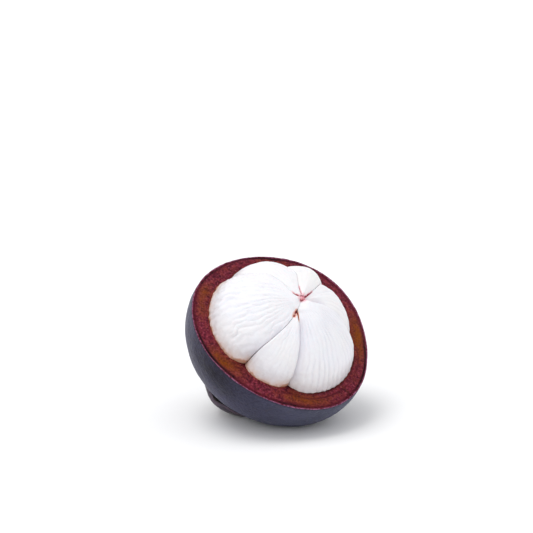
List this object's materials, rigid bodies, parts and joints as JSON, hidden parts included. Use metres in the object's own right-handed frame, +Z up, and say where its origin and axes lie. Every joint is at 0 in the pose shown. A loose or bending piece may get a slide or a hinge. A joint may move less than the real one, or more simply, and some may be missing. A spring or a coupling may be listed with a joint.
{
  "type": "opened mangosteen",
  "caption": "Mangosteen cut open round its middle: a thick rind cup leaning on its calyx and stem, with the whole ball of white flesh segments standing in it.",
  "frame": {"origin": "on the surface the fruit rests on, under the middle of its bounding box", "axes": "+Z up; the open side with the white flesh faces up and towards -Y, and a little towards +X; the stem points down and back"},
  "size_m": [0.0636, 0.0606, 0.054],
  "materials": {
    "rind": "matt dark purple skin with a grey bloom, crimson and brown where it is cut",
    "flesh": "moist, soft sheen, finely ridged",
    "core": "moist pink tissue",
    "stem": "dry, ribbed",
    "sepal": "leathery, matt"
  },
  "bodies": {
    "root": {"rind": "rind", "flesh_segment_1": "flesh", "flesh_segment_2": "flesh", "flesh_segment_3": "flesh", "flesh_segment_4": "flesh", "flesh_segment_5": "flesh", "flesh_segment_6": "flesh", "core": "core", "stem": "stem", "sepal_1": "sepal", "sepal_2": "sepal", "sepal_3": "sepal", "sepal_4": "sepal"}
  },
  "joints": []
}
